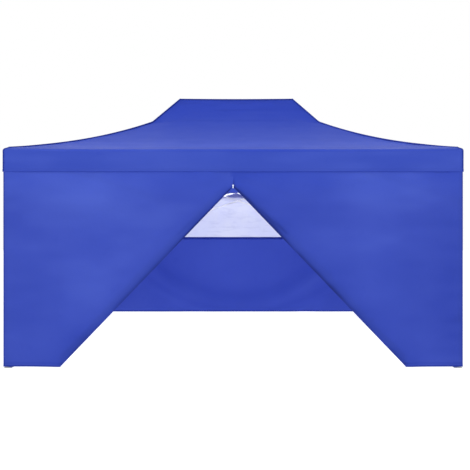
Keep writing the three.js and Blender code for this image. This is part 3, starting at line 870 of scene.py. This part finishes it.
def back_tone(x, z):
    """Painted shade: dark arcs where the back wall sags, with a paler band between them and a slight
    darkening overall.
    """
    swag = z - (0.27 + 0.31 * (x + 0.03) ** 2)
    low_swag = z - (0.02 + 0.22 * (x - 0.1) ** 2)
    inside = smooth((1.75 - np.abs(x)) / 0.5)
    # Painted shade in arcs along the sags, and a paler band between them.
    arcs = 0.65 * bump(swag, -0.03, 0.15) - 0.25 * bump(swag, -0.24, 0.07)
    arcs += 0.4 * bump(low_swag, 0, 0.06)
    return 0.05 + inside * arcs + 0.15 * noise(x * 2.5, z * 3.5, SEED + 44) + 0.5 * hem_tone(z)


def window_edge(x, z):
    """1 beside the window opening, where the sewn border keeps the cloth flat."""
    gap_x = np.abs(x) - WINDOW_HALF_X
    gap_z = np.maximum(WINDOW_SILL_Z - z, z - WINDOW_HEAD_Z)
    return bump(np.maximum(np.maximum(gap_x, gap_z), 0), 0, 0.08)


def back_points(x, z):
    relief = back_relief(x, z) * (1 - window_edge(x, z))
    return xyz(x, WALL_PLANE_Y + relief + hem_raise(z), z)


def back_wall_grids():
    """The back wall in eight panels round the window opening, so that its edge is clean."""
    xs = [np.linspace(-WALL_X, -WINDOW_HALF_X, 42), np.linspace(-WINDOW_HALF_X, WINDOW_HALF_X, 66),
          np.linspace(WINDOW_HALF_X, WALL_X, 42)]
    low = wall_levels()
    low = low[low < WINDOW_SILL_Z - 0.01]
    zs = [np.append(low, WINDOW_SILL_Z), np.linspace(WINDOW_SILL_Z, WINDOW_HEAD_Z, 26),
          np.linspace(WINDOW_HEAD_Z, WALL_TOP_Z, 6)]
    for i, j in (0, 0), (0, 1), (0, 2), (1, 0), (1, 2), (2, 0), (2, 1), (2, 2):
        x, z = np.meshgrid(xs[i], zs[j])
        yield back_points(x, z), x, z, back_tone(x, z)


back = join_grids("back_wall_cloth", list(back_wall_grids()))
weld(back)
dress(back, "leg_outer_back_right", CLOTH, FABRIC_SLOT, ["back_wall"])
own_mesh(back)


def window_film():
    """The clear film, slightly bowed and rippled."""
    columns = np.linspace(WINDOW_LOW.x, WINDOW_HIGH.x, 60)
    x, z = np.meshgrid(columns, np.linspace(WINDOW_LOW.z, WINDOW_HIGH.z, 26))
    edge_x = smooth((WINDOW_HALF_X - np.abs(x)) / 0.12)
    edge_z = smooth(np.minimum(z - WINDOW_SILL_Z, WINDOW_HEAD_Z - z) / 0.10)
    ripple = 0.004 * noise(x * 2.3, z * 1.9, SEED + 50) - 0.002
    y = (WINDOW_LOW.y + WINDOW_HIGH.y) / 2 + ripple * edge_x * edge_z
    return xyz(x, y, z), x, z


film = join_grids("window_film_sheet", [window_film()])
dress(film, "leg_outer_back_right", FILM, "window_film", ["window"])
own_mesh(film)


def side_wall(hand):
    """A plain side wall with soft upright folds; hand is 1 on the right, -1 on the left."""
    name = "right_wall" if hand > 0 else "left_wall"
    body = "leg_outer_back_right" if hand > 0 else "leg_outer_front_left"
    s, z = np.meshgrid(np.linspace(-WALL_Y, WALL_Y, 90), wall_levels())
    pinned = smooth((WALL_Y - np.abs(s)) / 0.12) * below_valance(z)
    upright = 0.008 * smooth((1.5 - z) / 1.5) * noise(s * 2.4 + hand * 9, z * 0.35, SEED + 60)
    out = pinned * upright + wall_relief(s, z, WALL_Y, SEED + 62 + hand) + hem_raise(z)
    points = xyz(hand * (LEG_AXIS_X + WALL_FACE + out), s, z)
    sheet = join_grids(name + "_cloth", [(points, s, z)])
    dress(sheet, body, CLOTH, FABRIC_SLOT, [name])
    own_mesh(sheet)
    return sheet, points


left_side, left_points = side_wall(-1)
right_side, right_points = side_wall(1)


# ---- Trims: bindings, piping and patches ----

def with_uv(points, along, shares):
    """A trim's grid and its UVs: metres along its line, and a share across it for each row."""
    shape = points.shape[:2]
    return points, np.broadcast_to(along, shape), np.broadcast_to(np.array(shares)[:, None], shape)


def binding_grid(edge, inner, width, thick=0.0010, past=0.0012):
    """A tape folded over the edge of a cloth; inner is the line a little way in from the edge."""
    away = unit(inner - edge)
    lift = unit(np.cross(np.gradient(edge, axis=0), inner - edge)) * thick
    lip = edge - away * past * 0.4
    rows = [edge + away * width + lift, lip + lift, edge - away * past, lip - lift,
            edge + away * width - lift]
    return with_uv(np.array(rows), run_length(edge), [0.0, 0.92, 1.0, 0.92, 0.0])


def tube_grid(line, radius, sides=8):
    """A round cord or piping along a line of points, which is mostly level or mostly upright."""
    run = unit(np.gradient(line, axis=0))
    span = line[-1] - line[0]
    upright = abs(span[2]) > math.hypot(span[0], span[1])
    across = unit(np.cross(run, (-span[1], span[0], 0) if upright else (0, 0, 1)))
    up = np.cross(across, run)
    turns = np.linspace(0, 2 * math.pi, sides + 1)
    points = np.array([line + radius * (math.cos(a) * across + math.sin(a) * up) for a in turns])
    return with_uv(points, run_length(line), turns / 6.0)


def canopy_trim(name, grids, material):
    piece = join_grids("canopy_trim_" + name, grids)
    dress(piece, "mast_hub_left", material, FABRIC_SLOT)
    follow_frame(piece)


def hip_line(side):
    u = np.linspace(EAVE_START, 1, HIP_POINTS)
    x, y = side_xy(roof_half_x(u), CANOPY_Y * (1 - u), side, 0.0)
    z = roof_z(u, 0.0, 2 * (CANOPY_X, CANOPY_Y)[side % 2])
    return xyz(x, y, z + PIPING_RADIUS * 0.4)


def ridge_line():
    along = np.linspace(0, 1, 60)
    return xyz(MAST_X * (2 * along - 1), 0.0, roof_z(1.0, along, 2 * CANOPY_X))


PIPING_RADIUS = 0.0085
CORNER_PIPING_RADIUS = 0.0046
PATCH_SEAM_RADIUS = 0.0014
PATCH_SEAM_LIFT = (0, 0, 0.0004)
HIP_POINTS = 90
PATCH_ROWS = 17
EAVE_ROWS = 23

thickening = smooth(np.linspace(0, 5, HIP_POINTS))[:, None]
hip_radius = CORNER_PIPING_RADIUS + (PIPING_RADIUS - CORNER_PIPING_RADIUS) * thickening
side_points = [points for points, *_ in canopy_sides]
canopy_trim("hips", [tube_grid(hip_line(side), hip_radius) for side in range(4)], SEAM)
canopy_trim("ridge", [tube_grid(ridge_line(), PIPING_RADIUS)], SEAM)
canopy_trim("corners", [tube_grid(points[:EAVE_ROWS, 0], CORNER_PIPING_RADIUS)
                        for points in side_points], SEAM)
canopy_trim("patch_seam", [tube_grid(points[-PATCH_ROWS] + PATCH_SEAM_LIFT, PATCH_SEAM_RADIUS, 6)
                           for points in side_points], CLOTH)
canopy_trim("valance_binding", [binding_grid(points[0], points[2], VALANCE_TAPE)
                                for points in side_points], HEM)


def wall_trim(name, wall, grids, material):
    """A piece sewn to a wall, which closes up with it."""
    piece = join_grids(name, grids)
    dress(piece, wall["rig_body"], material, FABRIC_SLOT)
    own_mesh(piece)
    return piece


def half_panel(hand):
    """The points of the visible half panel, in columns from its rolled edge to the leg."""
    return door_halves[hand][0][:, ::hand][:, FLAP_COLUMNS + ROLL_COLUMNS // 2:]


def apex_gusset():
    """The triangle of double cloth sewn behind the top of the door."""
    rows = np.linspace(GUSSET_LOW_Z, DOOR_APEX_Z + 0.030, 8)
    widths = np.interp(rows, [GUSSET_LOW_Z, DOOR_APEX_Z], [GUSSET_HALF, 0.012])
    x = widths[:, None] * np.linspace(-1, 1, 15)
    z = np.broadcast_to(rows[:, None], x.shape)
    y = -(WALL_PLANE_Y + DOOR_BULGE - 2 * ROLL_RADIUS - 0.0012)
    # Painted shade: the gusset darker than the wall, with a darker line along its lower edge.
    tone = 0.3 + 1.3 * bump(z, GUSSET_LOW_Z, 0.006)
    return xyz(x, y, z), x, z, tone


def tie_strap(hand, run):
    """A strap round the pleated flap, from the fold to just past the pleats."""
    across = np.linspace(-0.002, PLEAT + 0.022, 16)
    along = run + np.linspace(-TIE_HALF, TIE_HALF, 4)
    placed, run_at = np.meshgrid(across, along)
    x = placed * FOLD_NORMAL[0] + run_at * FOLD_NORMAL[1]
    z = DOOR_APEX_Z + placed * FOLD_NORMAL[1] - run_at * FOLD_NORMAL[0]
    flap_width = min(run * DOOR_SLOPE, (FOLD_RUN - run) / DOOR_SLOPE)
    layers = flap_width / PLEAT + 1
    over = 1 - smooth((placed - PLEAT - 0.003) / 0.014)
    depth = 0.0012 + (2 * ROLL_RADIUS + PLEAT_SPACING * layers) * over
    out = WALL_PLANE_Y + door_relief(x, z, placed, run_at, DOOR_SEEDS[hand]) - depth
    return xyz(x * hand, -out, z), run_at, placed * 4


panels = {hand: half_panel(hand) for hand in (-1, 1)}
front_trim_grids = {
    "front_wall_binding": [binding_grid(panel[0, ::hand], panel[2, ::hand], BINDING)
                           for hand, panel in panels.items()],
    "front_wall_side_tape": [binding_grid(panel[:, -1], panel[:, -3], SIDE_TAPE)
                             for panel in panels.values()],
    "door_apex_gusset": [apex_gusset()],
    "door_ties": [tie_strap(hand, run) for hand in panels for run in TIE_RUNS],
}
front_trims = [wall_trim(name, front, grids, CLOTH if "gusset" in name else SEAM)
               for name, grids in front_trim_grids.items()]


def back_bottom():
    x = np.linspace(-WALL_X, WALL_X, 150)
    return back_points(x, WALL_LOW_Z), back_points(x, WALL_LOW_Z + 0.012)


def window_frame_grids():
    """Tape round the window opening, as four strips with mitred ends."""
    corners = [(-1, WINDOW_SILL_Z), (1, WINDOW_SILL_Z), (1, WINDOW_HEAD_Z), (-1, WINDOW_HEAD_Z)]
    centre_z = (WINDOW_SILL_Z + WINDOW_HEAD_Z) / 2
    for start, end in zip(corners, corners[1:] + corners[:1]):
        share = np.linspace(0, 1, 40)
        x = WINDOW_HALF_X * (start[0] + (end[0] - start[0]) * share)
        z = start[1] + (end[1] - start[1]) * share
        edge = xyz(x, WALL_PLANE_Y, z)
        far = xyz(x * (1 + WINDOW_TAPE / WINDOW_HALF_X), WALL_PLANE_Y,
                  centre_z + (z - centre_z) * (1 + WINDOW_TAPE / (WINDOW_HEAD_Z - centre_z)))
        lift = np.array([0, 0.0014, 0])
        rows = [far + lift, edge + lift, edge, edge - lift * 1.6, far - lift * 1.6]
        yield with_uv(np.array(rows), run_length(edge), [0.0, 0.9, 1.0, 0.9, 0.0])


back_trims = [
    wall_trim("back_wall_binding", back, [binding_grid(*back_bottom(), BACK_BINDING)], SEAM),
    wall_trim("window_border", back, list(window_frame_grids()), SEAM),
]


def side_binding(wall, points):
    """Binding along the bottom of a side wall."""
    name = wall.name.replace("cloth", "binding")
    return wall_trim(name, wall, [binding_grid(points[0], points[2], BINDING)], SEAM)


left_trims = [side_binding(left_side, left_points)]
right_trims = [side_binding(right_side, right_points)]


# ---- Small solid parts ----

def prism(outline, low, high):
    """Corners and faces of a flat outline in X and Z, pulled out along Y."""
    count = len(outline)
    points = [(x, low, z) for x, z in outline] + [(x, high, z) for x, z in outline]
    sides = [(i, (i + 1) % count, (i + 1) % count + count, i + count) for i in range(count)]
    return points, [tuple(range(count))[::-1], tuple(range(count, 2 * count)), *sides]


def lathe(profile, sides):
    """Corners and faces of a profile of (radius, height) turned about Y, from y = height."""
    points, faces = [], []
    for radius, height in profile:
        for k in range(sides):
            turn = 2 * math.pi * k / sides
            points.append((radius * math.cos(turn), height, radius * math.sin(turn)))
    for ring in range(len(profile) - 1):
        for k in range(sides):
            a, b = ring * sides + k, ring * sides + (k + 1) % sides
            faces.append((a, b, b + sides, a + sides))
    top = (len(profile) - 1) * sides
    faces.append(tuple(range(top, top + sides)))
    faces.append(tuple(range(sides))[::-1])
    return points, faces


RIVET = lathe([(0.0080, 0.0), (0.0080, 0.0009), (0.0060, 0.0009), (0.0058, 0.0018), (0.0044, 0.0029),
               (0.0022, 0.0034)], 20)


class Pile:
    """Solids collected for one body, to be made into one piece."""

    def __init__(self):
        self.points, self.faces = [], []

    def add(self, solid, turn, place):
        start = len(self.points)
        for x, y, z in solid[0]:
            self.points.append(Vector(place) + turn @ Vector((x, y, z)))
        self.faces += [tuple(start + i for i in face) for face in solid[1]]

    def make(self, name, body, material, slot, bevel=0.0):
        mesh = bpy.data.meshes.new(name)
        mesh.from_pydata(self.points, [], self.faces)
        edit_mesh(mesh, lambda work: bmesh.ops.recalc_face_normals(work, faces=work.faces))
        mesh.shade_smooth()
        mesh.set_sharp_from_angle(angle=math.radians(38))
        piece = add_object(name, mesh)
        if bevel:
            bevel_edges(piece, bevel)
        return dress(piece, body, material, slot)


# ---- Rivets and end caps of the scissor bars ----

BAR_LOW, BAR_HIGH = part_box("front_bar_2a")
HALF_CELL = (BAR_HIGH.x - BAR_LOW.x) / 2 - BAR_END_X
HALF_RISE = PIVOT_UPPER_Z - CROSS_Z


def bar_pose(name):
    """A bar's middle in its truss plane, the way to its upper pivot, the way across the plane, and
    the side of the plane (1 or -1) that the bar lies on."""
    low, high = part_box(name)
    centre = (low + high) / 2
    pinned = 1 if name.endswith("a") else -1
    truss = name.split("_")[0]
    if truss in ("left", "right"):
        plane_x = LEG_AXIS_X if truss == "right" else -LEG_AXIS_X
        middle = Vector((plane_x, centre.y, CROSS_Z))
        towards_middle = 1 if "front" in name else -1
        along = Vector((0, HALF_CELL * towards_middle * pinned, HALF_RISE))
        across = Vector((1, 0, 0))
    else:
        plane_y = {"front": -LEG_AXIS_Y, "back": LEG_AXIS_Y, "ridge": 0.0}[truss]
        middle = Vector((centre.x, plane_y, CROSS_Z))
        along = Vector((-HALF_CELL * pinned, 0, HALF_RISE))
        across = Vector((0, 1, 0))
    return middle, along, across, 1 if (centre - middle).dot(across) > 0 else -1


def basis(x_axis, y_axis):
    """A turn that takes X to x_axis and Y to y_axis."""
    from_x, from_y = x_axis.normalized(), y_axis.normalized()
    return Matrix((from_x, from_y, from_x.cross(from_y))).transposed()


def add_rivets(pile, place, along, across, done):
    """A rivet head on both faces of a pivot, unless another bar has them already."""
    key = tuple(round(value, 3) for value in place)
    if key in done:
        return
    done.add(key)
    for out in (-across, across):
        pile.add(RIVET, basis(along, out), place + out * LAYER_FAR)


# A cap in the end of a bar, with its corners cut off like the bar's.
CAP = prism([(-0.009, -0.0113), (-0.0047, -0.0113), (0.0015, -0.0051), (0.0015, 0.0051),
             (-0.0047, 0.0113), (-0.009, 0.0113)], -0.0063, 0.0063)

done_pivots = set()
for bar in sorted(name for name in frame["nodes"] if "_bar_" in name):
    middle, along, across, layer = bar_pose(bar)
    rivets, caps = Pile(), Pile()
    for place in (middle, middle + along, middle - along):
        add_rivets(rivets, place, along, across, done_pivots)
    for sign in (-1, 1):
        end = middle + along * sign + along.normalized() * sign * BAR_OVERHANG
        caps.add(CAP, basis(along * sign, across), end + across * layer * LAYER_MIDDLE)
    caps.make(bar + "_caps", bar, NYLON, "joint_plastic", 0.0006)
    if rivets.points:
        rivets.make(bar + "_rivets", bar, PLATED, "button_metal")


# ---- Zip slider at the top of the door ----

def zip_slider():
    """The zip's slider with its pull tab hanging from it."""
    pile = Pile()
    body = [(-0.0065, -0.008), (0.0065, -0.008), (0.0085, 0.004), (0.0045, 0.009), (-0.0045, 0.009),
            (-0.0085, 0.004)]
    tab = [(-0.0045, -0.026), (0.0045, -0.026), (0.0055, -0.023), (0.0040, -0.004), (-0.0040, -0.004),
           (-0.0055, -0.023)]
    flat = Matrix.Identity(3)
    front_y = -WALL_PLANE_Y - 0.0050
    pile.add(prism(body, -0.003, 0.003), flat, (0, front_y, ZIP_TOP_Z))
    pile.add(prism(tab, -0.0012, 0.0012), flat, (0, front_y - 0.0036, ZIP_TOP_Z))
    piece = pile.make("door_zip_slider", front["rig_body"], PALE_NYLON, "joint_plastic", 0.0007)
    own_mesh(piece)
    return piece


door_zip = zip_slider()


# ---- Finish of the CAD parts ----

SLOT_FINISH = {"frame_steel": POWDER, "leg_zinc": ZINC, "joint_plastic": NYLON, "button_metal": PLATED}


def cad_slot(name):
    if name.startswith(("leg_button", "slider_latch")):
        return "button_metal"
    if name.startswith("leg_inner"):
        return "leg_zinc"
    if name.startswith(("slider", "connector", "mast_hub")):
        return "joint_plastic"
    return "frame_steel"


for name, node in frame["nodes"].items():
    if node.hide_render:
        continue
    slot = cad_slot(name)
    node.data.materials.clear()
    node.data.materials.append(LEG_FINISH if name.startswith("leg_outer") else SLOT_FINISH[slot])
    moulded = slot == "joint_plastic" or name.startswith("leg_outer")
    bevel_edges(node, 0.0015 if moulded else 0.0007, 40)


# ---- Surroundings and light ----

def stage_floor():
    """A white floor that fades into the white world."""
    bpy.ops.mesh.primitive_plane_add(size=60, location=(0, 0, -0.001))
    floor = bpy.context.object
    floor.name = "floor"
    n = Nodes("white_floor")
    n.set(Base_Color=(0.45, 0.45, 0.45, 1), Roughness=0.9, Emission_Color=(1, 1, 1, 1))
    n.set(Emission_Strength=0.93)
    floor.data.materials.append(n.material)


def area_light(name, place, target, size, power):
    data = bpy.data.lights.new(name, "AREA")
    data.shape = "RECTANGLE"
    data.size, data.size_y = size
    data.energy = power
    lamp = add_object(name, data)
    lamp.location = place
    aim = Vector(target) - Vector(place)
    lamp.rotation_euler = aim.to_track_quat("-Z", "Y").to_euler()


def white_world():
    world = bpy.data.worlds.new("white_world")
    world.use_nodes = True
    background = world.node_tree.nodes["Background"]
    background.inputs["Color"].default_value = (1, 1, 1, 1)
    background.inputs["Strength"].default_value = 1.0
    bpy.context.scene.world = world


white_world()
stage_floor()
area_light("key", (-3.5, -8.0, 5.0), (0, 0, 1.4), (4, 3), 90)
area_light("fill", (4.5, -7.0, 3.0), (0, 0, 1.2), (4, 3), 30)

# Strips just behind the front wall, out of sight, light the back wall as an open tent is lit.
STRIP_Y = -1.30
BACK_Y = 1.49
area_light("inside_top", (0, STRIP_Y, 1.93), (0, BACK_Y, 0.95), (3.9, 0.22), 27)
for side, x in ("left", -1.9), ("right", 1.9):
    area_light("inside_" + side, (x, STRIP_Y, 1.10), (0, BACK_Y, 1.0), (0.22, 1.5), 9)
bpy.context.scene.view_settings.view_transform = "Standard"
bpy.context.scene.view_settings.look = "None"
